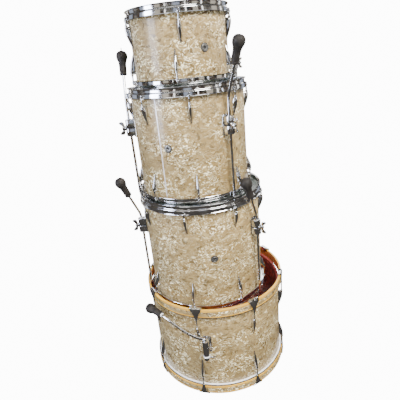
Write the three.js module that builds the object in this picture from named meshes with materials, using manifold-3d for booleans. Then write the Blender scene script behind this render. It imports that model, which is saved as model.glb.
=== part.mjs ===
// A four-drum kit stacked for storage: a bass drum lying on its batter side, two
// floor toms nested on it with their legs turned upside down, and a rack tom on top.
// Units are millimetres, +Z is up, and angles are degrees about a drum's own axis,
// measured from the front (-Y) towards +X.

import * as THREE from "three";
import { mergeVertices } from "three/addons/utils/BufferGeometryUtils.js";
import { ConvexGeometry } from "three/addons/geometries/ConvexGeometry.js";
import Module from "manifold-3d";

const wasm = await Module();
wasm.setup();

// ---------------------------------------------------------------- driving sizes
const ROUND = 28; // sides of every drum-sized ring
const GAP = 0.3; // clearance between touching pieces

const BASS = {
  name: "bass",
  centre: [0, 0],
  radius: 279.4, // 22 in across
  depth: 355.6, // 14 in deep
  wall: 8,
  base: 29.2, // height of the lower bearing edge
  lugs: { count: 8, angle: -16.5, start: 58, length: 76, reach: 18 },
  hoop: { height: 38, inner: 3.5, outer: 12.5 },
};

const LOWER_TOM = {
  name: "lower_tom",
  centre: [-25.5, -26],
  radius: 228.6, // 18 in across
  depth: 413,
  wall: 7.5,
  base: 397.1,
  upperLugs: { count: 8, angle: -14.5, start: 35, length: 62, reach: 19 },
  lowerLugs: { count: 8, angle: -14.5, start: 50, length: 62, reach: 19 },
  vent: { angle: 8, height: 210 },
};

const UPPER_TOM = {
  name: "upper_tom",
  centre: [-38, -29],
  radius: 203.2, // 16 in across
  depth: 376,
  wall: 7.5,
  base: 823.7,
  upperLugs: { count: 8, angle: 2.7, start: 40, length: 64, reach: 19 },
  lowerLugs: { count: 8, angle: 2.7, start: 38, length: 62, reach: 19 },
  vent: { angle: -22, height: 194 },
};

const RACK_TOM = {
  name: "rack_tom",
  centre: [-46.7, -30],
  radius: 165.1, // 13 in across
  depth: 225,
  wall: 7,
  base: 1213.3,
  upperLugs: { count: 5, angle: 3.5, start: 34, length: 68, reach: 19 },
  lowerLugs: { count: 5, angle: -4, start: 42, length: 66, reach: 19 },
  vent: { angle: 29.5, height: 104 },
};

// Rim section: offsets from the shell's radius, and heights above the bearing edge.
const RIM = {
  top: 12,
  foot: -20,
  earReach: 16,
  earHalf: 8,
  earTop: -17,
  rodOffset: 12.8,
  rodRadius: 3.4,
  rodTop: -10,
};
const HEAD = { film: 1, ringOuter: 6, ringTop: -4.2, ringFoot: -11, collar: 1.8 };

const CLAW = { half: 23, over: 8, lip: 1.2, front: 17, drop: 47, rodOffset: 13.6 };

const LEG = {
  radius: 4.75,
  offset: 19, // axis of the rod from the shell
  afterBend: 162, // from the bend to the end inside the foot
};
const FOOT = { bore: 5.6, depth: 62, length: 85, neck: 13, head: 20.5 };
const BRACKET = { half: 15, high: 31, out: 34, bore: 5.5 };
const WING = { shaft: 3.4, hub: 8, hubLength: 10, span: 24, thick: 4, tall: 13 };

// Legs: bracket angle, bracket drop below the shell's top, bend height, and the
// azimuth and lean of the part above the bend.
const LOWER_LEGS = [
  { side: "left", angle: -83, bend: 728, azimuth: -44, lean: 24 },
  { side: "right", angle: 54, bend: 725, azimuth: -33, lean: 25 },
  { side: "rear", angle: 174, bend: 725, azimuth: -116, lean: 20 },
];
const UPPER_LEGS = [
  { side: "left", angle: -80, bend: 1161, azimuth: 180, lean: 20 },
  { side: "right", angle: 37, bend: 1167, azimuth: 38, lean: 21 },
  { side: "rear", angle: 157, bend: 1160, azimuth: 70, lean: 20 },
];
const LOWER_BRACKET_DROP = 126;
const UPPER_BRACKET_DROP = 124;
const LOWER_LEG_END = 385.4;
const UPPER_LEG_END = 824.5;

const SPUR = {
  angles: { left: -10.3, right: 112.3 },
  turn: { left: -1, right: 1 }, // which way round the folded rod lies
  offset: 38,
  barrel: 13,
  bottom: 203,
  top: 296,
  rodHeight: 303,
  footTurn: 34.2, // degrees round the shell from barrel to foot
  footHeight: 365,
  steps: 6, // straight lengths that make up the rod's curve
  rod: 6,
  bore: 7,
  footBore: 6.8,
  screwHeight: 263,
};

const MOUNT = { angle: 108, height: 45, half: 17, out: 50, tube: 10, bore: 5.6 };

// -------------------------------------------------------------------- materials
const finish = (color, roughness, metalness) =>
  new THREE.MeshStandardMaterial({ color, roughness, metalness });

const LOOK = {
  pearl: () => finish(0xd3c3a4, 0.3, 0),
  chrome: () => finish(0xd0d3d6, 0.12, 1),
  maple: () => finish(0xdcae62, 0.35, 0),
  head: () => finish(0xebe8df, 0.5, 0),
  rubber: () => finish(0x1c1b1a, 0.75, 0),
};

// ---------------------------------------------------------------- solid helpers
const radians = THREE.MathUtils.degToRad;

function solidOf(geometry, matrix) {
  const bare = geometry.clone();
  bare.deleteAttribute("normal");
  bare.deleteAttribute("uv");
  if (matrix) bare.applyMatrix4(matrix);
  const merged = mergeVertices(bare, 1e-3);
  return new wasm.Manifold(
    new wasm.Mesh({
      numProp: 3,
      vertProperties: merged.attributes.position.array,
      triVerts: new Uint32Array(merged.index.array),
    }),
  );
}

function geometryOf(solid) {
  const mesh = solid.getMesh();
  const geometry = new THREE.BufferGeometry();
  geometry.setAttribute(
    "position",
    new THREE.BufferAttribute(mesh.vertProperties, 3),
  );
  geometry.setIndex(new THREE.BufferAttribute(mesh.triVerts, 1));
  geometry.computeVertexNormals();
  return geometry;
}

const joined = (solids) => solids.reduce((sum, next) => sum.add(next));

function meshOf(name, solid, material) {
  const mesh = new THREE.Mesh(geometryOf(solid), material);
  mesh.name = name;
  return mesh;
}

// A solid of revolution about +Z from [radius, height] pairs going anticlockwise
// (outwards along the bottom, up the outside, inwards along the top).
function turned(profile, sides) {
  const points = profile.map(([r, z]) => new THREE.Vector2(r, z));
  const onAxis = profile[0][0] === 0;
  if (!onAxis) points.push(points[0].clone());
  return new THREE.LatheGeometry(points, sides).rotateX(Math.PI / 2);
}

// A box from its two corners.
function box(low, high) {
  const size = high.map((v, i) => v - low[i]);
  const middle = high.map((v, i) => (v + low[i]) / 2);
  return new THREE.BoxGeometry(...size).translate(...middle);
}

// A regular prism with its axis along +Z between two heights.
function prism(radius, bottom, top, sides) {
  const outline = Array.from({ length: sides }, (_, i) => {
    const a = (2 * Math.PI * i) / sides;
    return new THREE.Vector2(radius * Math.cos(a), radius * Math.sin(a));
  });
  return new THREE.ExtrudeGeometry(new THREE.Shape(outline), {
    depth: top - bottom,
    bevelEnabled: false,
  }).translate(0, 0, bottom);
}

const hull = (points) =>
  new ConvexGeometry(points.map((p) => new THREE.Vector3(...p)));

// Frame at a place on a drum: local +Y points out from the axis, +Z up, and the
// drum's axis is at the local origin.
function facing(centre, angle, height = 0) {
  return new THREE.Matrix4()
    .makeTranslation(centre[0], centre[1], height)
    .multiply(new THREE.Matrix4().makeRotationZ(Math.PI + radians(angle)));
}

// Turns a piece made for an upper edge into one for a lower edge.
const flipped = new THREE.Matrix4().makeScale(1, 1, -1);

function flip(geometry) {
  const turnedOver = geometry.index ? geometry.toNonIndexed() : geometry.clone();
  turnedOver.applyMatrix4(flipped);
  const p = turnedOver.attributes.position.array;
  for (let i = 0; i < p.length; i += 9)
    for (let k = 0; k < 3; k++)
      [p[i + 3 + k], p[i + 6 + k]] = [p[i + 6 + k], p[i + 3 + k]];
  return turnedOver;
}

const evenly = ({ count, angle }) =>
  Array.from({ length: count }, (_, i) => angle + (i * 360) / count);

// A point on a drum in the part's frame.
function around(centre, radius, angle, height) {
  const a = radians(angle);
  return new THREE.Vector3(
    centre[0] + radius * Math.sin(a),
    centre[1] - radius * Math.cos(a),
    height,
  );
}

// Matrix that stands a +Z piece on a point and points it along a direction.
function along(point, direction) {
  const turn = new THREE.Quaternion().setFromUnitVectors(
    new THREE.Vector3(0, 0, 1),
    direction.clone().normalize(),
  );
  return new THREE.Matrix4().compose(point, turn, new THREE.Vector3(1, 1, 1));
}

// ------------------------------------------------------------------ drum pieces
// A teardrop lug hanging from a start height below an upper edge at height 0.
function lugGeometry(radius, { start, length, reach }) {
  const root = radius - 5;
  const face = radius + reach;
  const points = [];
  for (const side of [-1, 1]) {
    points.push([side * 7, root, -start], [side * 5, face, -start - 3]);
    points.push([side * 8, root, -start - length * 0.35]);
    points.push([side * 4, face, -start - length * 0.35]);
  }
  points.push([0, root, -start - length]);
  return hull(points);
}

function ventHole(drum) {
  const across = prism(6.3, drum.radius - 14, drum.radius + 6, 8).rotateX(
    -Math.PI / 2,
  );
  return solidOf(
    across,
    facing(drum.centre, drum.vent.angle, drum.base + drum.vent.height),
  );
}

function shellSolid(drum, upperLugs, lowerLugs) {
  const { radius, wall, depth, base, centre } = drum;
  const tube = turned(
    [
      [radius - wall, 0],
      [radius, 0],
      [radius, depth],
      [radius - wall, depth],
    ],
    ROUND,
  ).translate(centre[0], centre[1], base);
  const upper = evenly(upperLugs).map((angle) =>
    solidOf(lugGeometry(radius, upperLugs), facing(centre, angle, base + depth)),
  );
  const lower = evenly(lowerLugs).map((angle) =>
    solidOf(flip(lugGeometry(radius, lowerLugs)), facing(centre, angle, base)),
  );
  return joined([solidOf(tube), ...upper, ...lower]).subtract(ventHole(drum));
}

// A grommet ring that lines a shell's vent hole.
function ventMesh(drum) {
  const { radius, wall } = drum;
  const inside = radius - wall - 1.5;
  const ring = turned(
    [
      [4, inside],
      [5.7, inside],
      [5.7, radius + GAP],
      [14, radius + GAP],
      [12.5, radius + 2.3],
      [4, radius + 2.3],
    ],
    8,
  ).rotateX(-Math.PI / 2);
  const place = facing(
    drum.centre,
    drum.vent.angle,
    drum.base + drum.vent.height,
  );
  return meshOf(drum.name + "_vent", solidOf(ring, place), LOOK.chrome());
}

// A steel rim with its ears and tension rods, for an upper edge at height 0.
function rimGeometryParts(radius, lugs) {
  const r = (offset) => radius + offset;
  const band = turned(
    [
      [r(6.8), RIM.foot],
      [r(9.4), RIM.foot],
      [r(9.4), -3],
      [r(4.8), 0],
      [r(9.5), RIM.top],
      [r(2.2), RIM.top],
      [r(2.2), -3.8],
      [r(6.8), -3.8],
    ],
    ROUND,
  );
  const ear = box(
    [-RIM.earHalf, r(6.9), RIM.foot],
    [RIM.earHalf, r(RIM.earReach), RIM.earTop],
  );
  const rod = prism(
    RIM.rodRadius,
    -lugs.start + 0.5,
    RIM.rodTop,
    6,
  ).translate(0, r(RIM.rodOffset), 0);
  return { band, ear, rod };
}

function rimMesh(drum, edge, lugs) {
  const { centre, radius, base, depth, name } = drum;
  const upper = edge === "top";
  const height = upper ? base + depth : base;
  const { band, ear, rod } = rimGeometryParts(radius, lugs);
  const side = (geometry) => (upper ? geometry : flip(geometry));
  const pieces = [
    solidOf(side(band).clone().translate(centre[0], centre[1], height)),
  ];
  for (const angle of evenly(lugs)) {
    const place = facing(centre, angle, height);
    pieces.push(solidOf(side(ear), place), solidOf(side(rod), place));
  }
  return meshOf(`${name}_${edge}_rim`, joined(pieces), LOOK.chrome());
}

// A drumhead: the film, its collar and its flesh hoop, for an upper edge at 0.
function headGeometry(radius, { film, ringOuter, ringTop, ringFoot, collar }) {
  return turned(
    [
      [0, GAP],
      [radius + 0.5, GAP],
      [radius + 0.5, ringFoot],
      [radius + ringOuter, ringFoot],
      [radius + ringOuter, ringTop],
      [radius + collar, ringTop],
      [radius + collar, GAP + film],
      [0, GAP + film],
    ],
    ROUND,
  );
}

function headMesh(drum, edge, section = HEAD) {
  const upper = edge === "top" || edge === "front";
  const height = upper ? drum.base + drum.depth : drum.base;
  const made = headGeometry(drum.radius, section);
  const placed = (upper ? made : flip(made))
    .clone()
    .translate(drum.centre[0], drum.centre[1], height);
  return meshOf(`${drum.name}_${edge}_head`, solidOf(placed), LOOK.head());
}

// -------------------------------------------------------------------- bass drum
// A wooden hoop with claws and rods, for an upper edge of the hoop at height 0.
function bassHoopMesh(edge) {
  const { radius, hoop, lugs, base, depth, centre } = BASS;
  const upper = edge === "front";
  const hoopTop = upper ? base + depth + base : 0;
  const side = (geometry) => (upper ? geometry : flip(geometry));
  const band = turned(
    [
      [radius + hoop.inner, -hoop.height],
      [radius + hoop.outer, -hoop.height],
      [radius + hoop.outer, 0],
      [radius + hoop.inner, 0],
    ],
    ROUND,
  );
  const pieces = [solidOf(side(band).clone().translate(0, 0, hoopTop))];
  const over = upper ? CLAW.over : 0;
  const hook = box(
    [-CLAW.half, radius + hoop.inner - CLAW.lip, -9],
    [CLAW.half, radius + CLAW.front, over],
  );
  const bodyPoints = [];
  for (const s of [-1, 1])
    for (const y of [radius + hoop.inner + 2, radius + CLAW.front]) {
      bodyPoints.push([s * CLAW.half * 0.8, y, -8]);
    }
  for (const s of [-1, 1])
    for (const y of [radius + 9.6, radius + CLAW.front])
      bodyPoints.push([s * 5.5, y, -CLAW.drop]);
  const body = hull(bodyPoints);
  const rod = prism(3.4, -base - lugs.start + 0.5, -CLAW.drop + 2, 6).translate(
    0,
    radius + CLAW.rodOffset,
    0,
  );
  for (const angle of evenly(lugs)) {
    const place = facing(centre, angle, hoopTop);
    for (const piece of [hook, body, rod])
      pieces.push(solidOf(side(piece), place));
  }
  return meshOf(`bass_${edge}_hoop`, joined(pieces), LOOK.maple());
}

function bassMeshes() {
  const drum = { ...BASS, vent: { angle: -130, height: 178 } };
  const ring = {
    film: 1,
    ringOuter: 7,
    ringTop: -9.2,
    ringFoot: -15,
    collar: 2.6,
  };
  return [
    meshOf(
      "bass_shell",
      shellSolid(drum, BASS.lugs, BASS.lugs),
      LOOK.pearl(),
    ),
    ventMesh(drum),
    bassHoopMesh("front"),
    bassHoopMesh("batter"),
    headMesh(drum, "batter", ring),
  ];
}

// ------------------------------------------------------------------ wing screws
// A wing screw whose shaft starts at height 0 and points along +Z.
function wingSolid(shaftLength, scale = 1) {
  const hubTop = shaftLength + WING.hubLength;
  const pieces = [
    solidOf(prism(WING.shaft, 0, shaftLength + 1, 8)),
    solidOf(prism(WING.hub * scale, shaftLength, hubTop, 8)),
  ];
  for (const s of [-1, 1]) {
    const points = [];
    for (const t of [-WING.thick / 2, WING.thick / 2]) {
      points.push([t, s * 3, shaftLength + 1.5], [t, s * 3, hubTop]);
      points.push([t, s * WING.span * scale, hubTop - 4]);
      points.push([t, s * WING.span * 0.9 * scale, hubTop + WING.tall * scale]);
      points.push([t, s * 9, hubTop + 4]);
    }
    pieces.push(solidOf(hull(points)));
  }
  return joined(pieces);
}

// ------------------------------------------------------------------- floor toms
const bracketHeight = (drum, drop) => drum.base + drum.depth - drop;

function bracketMesh(drum, leg, drop) {
  const r = drum.radius;
  const place = facing(drum.centre, leg.angle, bracketHeight(drum, drop));
  const plate = box([-18, r + GAP, -36], [18, r + 4, 36]);
  const points = [];
  for (const s of [-1, 1])
    for (const z of [-1, 1]) {
      points.push([s * BRACKET.half, r + 3, z * BRACKET.high]);
      points.push([s * BRACKET.half, r + 27, z * BRACKET.high]);
      points.push([s * 10, r + BRACKET.out, z * (BRACKET.high - 7)]);
    }
  const rodBore = prism(BRACKET.bore, -50, 50, 8).translate(
    0,
    r + LEG.offset,
    0,
  );
  const screwBore = prism(4, r + LEG.offset, r + 50, 8).rotateX(-Math.PI / 2);
  const solid = solidOf(plate, place)
    .add(solidOf(hull(points), place))
    .subtract(solidOf(rodBore, place))
    .subtract(solidOf(screwBore, place));
  return meshOf(
    `${drum.name}_${leg.side}_bracket`,
    solid,
    LOOK.chrome(),
  );
}

function bracketScrewMesh(drum, leg, drop) {
  const start = drum.radius + LEG.offset + LEG.radius + 0.5;
  const shaft = drum.radius + BRACKET.out + 0.4 - start;
  const outward = new THREE.Matrix4()
    .makeTranslation(0, start, 0)
    .multiply(new THREE.Matrix4().makeRotationX(-Math.PI / 2));
  const place = facing(drum.centre, leg.angle, bracketHeight(drum, drop));
  return meshOf(
    `${drum.name}_${leg.side}_screw`,
    wingSolid(shaft).transform(place.multiply(outward).toArray()),
    LOOK.chrome(),
  );
}

const leaning = (azimuth, lean) =>
  new THREE.Vector3(
    Math.sin(radians(azimuth)) * Math.sin(radians(lean)),
    -Math.cos(radians(azimuth)) * Math.sin(radians(lean)),
    Math.cos(radians(lean)),
  );

function legMeshes(drum, leg, legEnd) {
  const bend = around(
    drum.centre,
    drum.radius + LEG.offset,
    leg.angle,
    leg.bend,
  );
  const direction = leaning(leg.azimuth, leg.lean);
  const straight = prism(LEG.radius, legEnd, leg.bend, 8).translate(
    bend.x,
    bend.y,
    0,
  );
  const upper = prism(LEG.radius, 0, LEG.afterBend, 8);
  const knuckle = new THREE.IcosahedronGeometry(LEG.radius * 1.2);
  const rod = joined([
    solidOf(straight),
    solidOf(upper, along(bend, direction)),
    solidOf(knuckle, new THREE.Matrix4().setPosition(bend)),
  ]);
  const footStart = bend
    .clone()
    .addScaledVector(direction, LEG.afterBend + 2 - FOOT.depth);
  const name = `${drum.name}_${leg.side}`;
  return [
    meshOf(name + "_leg", rod, LOOK.chrome()),
    footMesh(name + "_foot", footStart, direction),
  ];
}

// A rubber foot with a blind bore, standing on a point and pointing along a line.
function footMesh(name, start, direction, bore = FOOT.bore) {
  const foot = turned(
    [
      [0, FOOT.depth],
      [bore, FOOT.depth],
      [bore, 0],
      [FOOT.neck, 0],
      [FOOT.neck, 44],
      [FOOT.head, 58],
      [FOOT.head, 73],
      [12, FOOT.length],
      [0, FOOT.length],
    ],
    8,
  );
  return meshOf(name, solidOf(foot, along(start, direction)), LOOK.rubber());
}

function tomMeshes(drum) {
  return [
    meshOf(
      drum.name + "_shell",
      shellSolid(drum, drum.upperLugs, drum.lowerLugs),
      LOOK.pearl(),
    ),
    ventMesh(drum),
    rimMesh(drum, "top", drum.upperLugs),
    rimMesh(drum, "bottom", drum.lowerLugs),
    headMesh(drum, "top"),
    headMesh(drum, "bottom"),
  ];
}

function floorTomMeshes(drum, legs, drop, legEnd) {
  const meshes = tomMeshes(drum);
  for (const leg of legs)
    meshes.push(
      bracketMesh(drum, leg, drop),
      bracketScrewMesh(drum, leg, drop),
      ...legMeshes(drum, leg, legEnd),
    );
  return meshes;
}

// -------------------------------------------------------------- bass drum spurs
// The folded rod's path: round the shell from the barrel to the foot, rising in an
// easy S, then straight on inside the foot.
function spurPath(angle, turn) {
  const points = [];
  for (let i = 0; i <= SPUR.steps; i++) {
    const t = i / SPUR.steps;
    const rise = t * t * (3 - 2 * t);
    points.push(
      around(
        BASS.centre,
        BASS.radius + SPUR.offset,
        angle + turn * SPUR.footTurn * t,
        SPUR.rodHeight + (SPUR.footHeight - SPUR.rodHeight) * rise,
      ),
    );
  }
  const heading = radians(angle + turn * SPUR.footTurn);
  const direction = new THREE.Vector3(Math.cos(heading), Math.sin(heading), 0);
  direction.multiplyScalar(turn);
  const neck = points[SPUR.steps];
  points.push(neck.clone().addScaledVector(direction, FOOT.depth - 2));
  return { points, neck, direction };
}

// A round rod through a run of points, as one closed skin.
function rodThrough(points, radius) {
  const sides = 8;
  const up = new THREE.Vector3(0, 0, 1);
  const corners = points.flatMap((point, i) => {
    const before = points[Math.max(i - 1, 0)];
    const after = points[Math.min(i + 1, points.length - 1)];
    const ahead = after.clone().sub(before).normalize();
    const side = ahead.clone().cross(up).normalize();
    const over = side.clone().cross(ahead);
    return Array.from({ length: sides }, (_, k) => {
      const a = (2 * Math.PI * k) / sides;
      return point
        .clone()
        .addScaledVector(side, radius * Math.cos(a))
        .addScaledVector(over, radius * Math.sin(a));
    });
  });
  const index = [];
  const last = (points.length - 1) * sides;
  for (let i = 0; i < last; i += sides)
    for (let k = 0; k < sides; k++) {
      const next = (k + 1) % sides;
      index.push(i + k, i + sides + k, i + next);
      index.push(i + next, i + sides + k, i + sides + next);
    }
  for (let k = 1; k < sides - 1; k++)
    index.push(0, k, k + 1, last, last + k + 1, last + k);
  return new THREE.BufferGeometry().setFromPoints(corners).setIndex(index);
}

function spurMeshes(side) {
  const angle = SPUR.angles[side];
  const turn = SPUR.turn[side];
  const r = BASS.radius;
  const name = "spur_" + side;
  const axis = r + SPUR.offset;
  const place = facing(BASS.centre, angle, 0);

  const middle = (SPUR.bottom + SPUR.top) / 2;
  const barrel = prism(SPUR.barrel, SPUR.bottom, SPUR.top, 10).translate(
    0,
    axis,
    0,
  );
  const stem = box([-9, r + 2, middle - 24], [9, axis, middle + 24]);
  const plate = box([-17, r + GAP, middle - 38], [17, r + 4, middle + 38]);
  const bore = prism(SPUR.bore, SPUR.bottom + 8, SPUR.top + 5, 8).translate(
    0,
    axis,
    0,
  );
  const screwBore = prism(4, 0, 30, 8)
    .rotateY(turn * (Math.PI / 2))
    .translate(0, axis, SPUR.screwHeight);
  const bracket = joined([barrel, stem, plate].map((g) => solidOf(g, place)))
    .subtract(solidOf(bore, place))
    .subtract(solidOf(screwBore, place));

  const { points, neck, direction } = spurPath(angle, turn);
  const knee = points[0];
  const rod = joined([
    solidOf(
      prism(SPUR.rod, SPUR.bottom + 9, SPUR.rodHeight, 8).translate(
        knee.x,
        knee.y,
        0,
      ),
    ),
    solidOf(rodThrough(points, SPUR.rod)),
    solidOf(
      new THREE.IcosahedronGeometry(SPUR.rod * 1.2),
      new THREE.Matrix4().setPosition(knee),
    ),
  ]);

  const screwStart = SPUR.rod + 0.6;
  const sideways = new THREE.Matrix4()
    .makeTranslation(turn * screwStart, axis, SPUR.screwHeight)
    .multiply(new THREE.Matrix4().makeRotationY(turn * (Math.PI / 2)));
  const screw = wingSolid(SPUR.barrel + 0.6 - screwStart, 0.55).transform(
    place.clone().multiply(sideways).toArray(),
  );
  return [
    meshOf(name + "_bracket", bracket, LOOK.chrome()),
    meshOf(name + "_rod", rod, LOOK.chrome()),
    footMesh(name + "_foot", neck, direction, SPUR.footBore),
    meshOf(name + "_screw", screw, LOOK.chrome()),
  ];
}

// --------------------------------------------------------------- rack tom mount
function mountMeshes() {
  const r = RACK_TOM.radius;
  const place = facing(
    RACK_TOM.centre,
    MOUNT.angle,
    RACK_TOM.base + MOUNT.height,
  );
  const tubeAt = r + 36;
  const plate = box([-20, r + GAP, -32], [20, r + 4, 32]);
  const block = box([-MOUNT.half, r + 3, -20], [MOUNT.half, r + MOUNT.out, 20]);
  const tube = prism(MOUNT.tube, -45, -19, 10).translate(0, tubeAt, 0);
  const bore = prism(MOUNT.bore, -70, 40, 8).translate(0, tubeAt, 0);
  const screwBore = prism(4, tubeAt, r + 60, 8).rotateX(-Math.PI / 2);
  const solid = joined([plate, block, tube].map((g) => solidOf(g, place)))
    .subtract(solidOf(bore, place))
    .subtract(solidOf(screwBore, place));
  const start = tubeAt + MOUNT.bore + 1;
  const outward = new THREE.Matrix4()
    .makeTranslation(0, start, 0)
    .multiply(new THREE.Matrix4().makeRotationX(-Math.PI / 2));
  const screw = wingSolid(r + MOUNT.out + 0.4 - start, 0.8).transform(
    place.clone().multiply(outward).toArray(),
  );
  return [
    meshOf("rack_tom_mount", solid, LOOK.chrome()),
    meshOf("rack_tom_mount_screw", screw, LOOK.chrome()),
  ];
}

// ---------------------------------------------------------------- the whole kit
const kit = new THREE.Group();
kit.add(...bassMeshes());
kit.add(...spurMeshes("left"), ...spurMeshes("right"));
kit.add(
  ...floorTomMeshes(LOWER_TOM, LOWER_LEGS, LOWER_BRACKET_DROP, LOWER_LEG_END),
);
kit.add(
  ...floorTomMeshes(UPPER_TOM, UPPER_LEGS, UPPER_BRACKET_DROP, UPPER_LEG_END),
);
kit.add(...tomMeshes(RACK_TOM), ...mountMeshes());

// The kit stands on the floor, centred under its own outline.
const outline = new THREE.Box3().setFromObject(kit, true);
const middleOfKit = outline.getCenter(new THREE.Vector3());
kit.position.set(-middleOfKit.x, -middleOfKit.y, -outline.min.z);

export default kit;
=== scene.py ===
# A four-drum kit stacked for storage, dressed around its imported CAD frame.
# Lengths in the shape functions are millimetres, +Z is up, and angles are degrees
# about a drum's own axis, measured from the front (-Y) towards +X.

import math

import bmesh
import bpy
import numpy as np
from mathutils import Matrix, Vector


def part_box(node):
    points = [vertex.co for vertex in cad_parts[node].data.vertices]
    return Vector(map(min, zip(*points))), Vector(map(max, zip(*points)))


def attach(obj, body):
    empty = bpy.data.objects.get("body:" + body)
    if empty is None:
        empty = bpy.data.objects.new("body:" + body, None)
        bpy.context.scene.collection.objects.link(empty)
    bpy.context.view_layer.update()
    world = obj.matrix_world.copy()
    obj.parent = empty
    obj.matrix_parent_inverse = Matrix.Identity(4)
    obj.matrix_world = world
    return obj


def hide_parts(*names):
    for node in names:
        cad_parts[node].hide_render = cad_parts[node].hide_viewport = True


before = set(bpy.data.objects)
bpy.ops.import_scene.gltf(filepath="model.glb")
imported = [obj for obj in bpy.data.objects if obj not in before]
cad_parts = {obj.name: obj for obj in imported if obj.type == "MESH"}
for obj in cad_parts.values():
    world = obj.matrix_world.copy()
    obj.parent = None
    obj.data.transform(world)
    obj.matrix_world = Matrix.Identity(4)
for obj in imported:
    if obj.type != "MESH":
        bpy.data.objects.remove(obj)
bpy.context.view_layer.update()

MM = 0.001
ROUND = 144  # sides of every drum-sized ring
INCH = 25.4


# ---------------------------------------------------------------- driving sizes
def centre_of(node):
    """Middle of a round CAD node seen from above, in millimetres."""
    low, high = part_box(node)
    return ((low.x + high.x) / 2 / MM, (low.y + high.y) / 2 / MM)


def lugs(count, angle, start, length, reach):
    angles = [angle + i * 360 / count for i in range(count)]
    return {"angles": angles, "start": start, "length": length, "reach": reach}


def drum(name, body, across, wall, centre, vent, upper, lower):
    low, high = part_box(name + "_shell")
    return {
        "name": name,
        "body": body,
        "radius": across * INCH / 2,
        "wall": wall,
        "centre": centre_of(centre),
        "base": low.z / MM,
        "top": high.z / MM,
        "vent": vent,
        "upper": upper,
        "lower": lower,
    }


BASS_LUGS = lugs(8, -16.5, 58, 76, 18)
BASS = drum("bass", "bass_drum", 22, 8, "bass_batter_head", (-130, 178), BASS_LUGS, BASS_LUGS)
LOWER_TOM = drum(
    "lower_tom", "lower_tom_drum", 18, 7.5, "lower_tom_top_head", (8, 210),
    lugs(8, -14.5, 35, 62, 19), lugs(8, -14.5, 50, 62, 19),
)
UPPER_TOM = drum(
    "upper_tom", "upper_tom_drum", 16, 7.5, "upper_tom_top_head", (-22, 194),
    lugs(8, 2.7, 40, 64, 19), lugs(8, 2.7, 38, 62, 19),
)
RACK_TOM = drum(
    "rack_tom", "rack_tom_drum", 13, 7, "rack_tom_top_head", (29.5, 104),
    lugs(5, 3.5, 34, 68, 19), lugs(5, -4, 42, 66, 19),
)

ROD_OFFSET = 12.8  # tension rod from the shell, on the toms
CLAW_ROD = 13.6  # and on the bass drum
HOOP = {"height": 38, "inner": 3.5, "outer": 12.5, "edge": 8.5, "line": 4.6, "painted_shadow_inside": 7.0}
SEAM_MARGIN = 24  # the wrap's seam stops short of the shell's edges
PLATE = 3.6  # how thick a base plate is

LEG_RADIUS = 4.75
LEG_OFFSET = 19
LEG_AFTER_BEND = 162
BRACKET_FRONT = 34.4  # a leg bracket's boss, from the shell
FOOT_DEPTH = 62
# side: bracket angle, bend height, and azimuth and lean of the part above the bend
LOWER_LEGS = {"left": (-83, 728, -44, 24), "right": (54, 725, -33, 25), "rear": (174, 725, -116, 20)}
UPPER_LEGS = {"left": (-80, 1161, 180, 20), "right": (37, 1167, 38, 21), "rear": (157, 1160, 70, 20)}
BRACKET_DROPS = {"lower_tom": 126, "upper_tom": 124}
LEG_ENDS = {"lower_tom": 385.4, "upper_tom": 824.5}

SPUR_ANGLES = {"left": -10.3, "right": 112.3}
SPUR_TURNS = {"left": -1, "right": 1}  # which way round the folded rod lies
SPUR = {
    "offset": 38, "bottom": 203, "top": 296, "rod_height": 303, "foot_turn": 34.2,
    "foot_height": 365, "rod": 5.9, "foot_bore": 6.4, "screw_height": 263, "barrel": 13,
}
MOUNT = {"angle": 108, "height": 45, "tube_offset": 36, "out": 50}


# -------------------------------------------------------------------- materials
class Nodes:
    """A material's node tree, built by name."""

    def __init__(self, name):
        self.material = bpy.data.materials.new(name)
        self.material.use_nodes = True
        self.tree = self.material.node_tree
        self.shader = self.tree.nodes["Principled BSDF"]

    def new(self, kind, **settings):
        node = self.tree.nodes.new("ShaderNode" + kind)
        for key, value in settings.items():
            if key in node.inputs:
                node.inputs[key].default_value = value
            else:
                setattr(node, key, value)
        return node

    def link(self, source, target):
        self.tree.links.new(source, target)

    def drive(self, source, name):
        """Links an output to one of the shader's inputs."""
        self.link(source, self.shader.inputs[name])

    def set(self, **values):
        for key, value in values.items():
            self.shader.inputs[key.replace("_", " ")].default_value = value

    def coordinates(self, scale=(1, 1, 1)):
        where = self.new("TexCoord").outputs["Object"]
        mapping = self.new("Mapping")
        mapping.inputs["Scale"].default_value = scale
        self.link(where, mapping.inputs["Vector"])
        return mapping.outputs["Vector"]

    def noise(self, vector, scale, detail=2.0, distortion=0.0):
        node = self.new("TexNoise", Scale=scale, Detail=detail, Distortion=distortion)
        self.link(vector, node.inputs["Vector"])
        return node.outputs["Fac"]

    def ramp(self, source, stops):
        node = self.new("ValToRGB")
        elements = node.color_ramp.elements
        while len(elements) < len(stops):
            elements.new(0.5)
        for element, (place, colour) in zip(elements, stops):
            element.position = place
            element.color = (*colour, 1)
        self.link(source, node.inputs["Fac"])
        return node.outputs["Color"]

    def mix(self, factor, first, second, blend="MIX"):
        node = self.new("Mix", data_type="RGBA", blend_type=blend)
        for value, socket in ((factor, 0), (first, 6), (second, 7)):
            if isinstance(value, (int, float, tuple)):
                node.inputs[socket].default_value = value
            else:
                self.link(value, node.inputs[socket])
        return node.outputs[2]

    def math(self, operation, first, second):
        node = self.new("Math", operation=operation)
        for value, socket in ((first, 0), (second, 1)):
            if isinstance(value, (int, float)):
                node.inputs[socket].default_value = value
            else:
                self.link(value, node.inputs[socket])
        return node.outputs[0]

    def bump(self, height, strength, distance):
        node = self.new("Bump", Strength=strength, Distance=distance)
        self.link(height, node.inputs["Height"])
        self.drive(node.outputs["Normal"], "Normal")


def grey(value):
    return (value, value, value)


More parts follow.
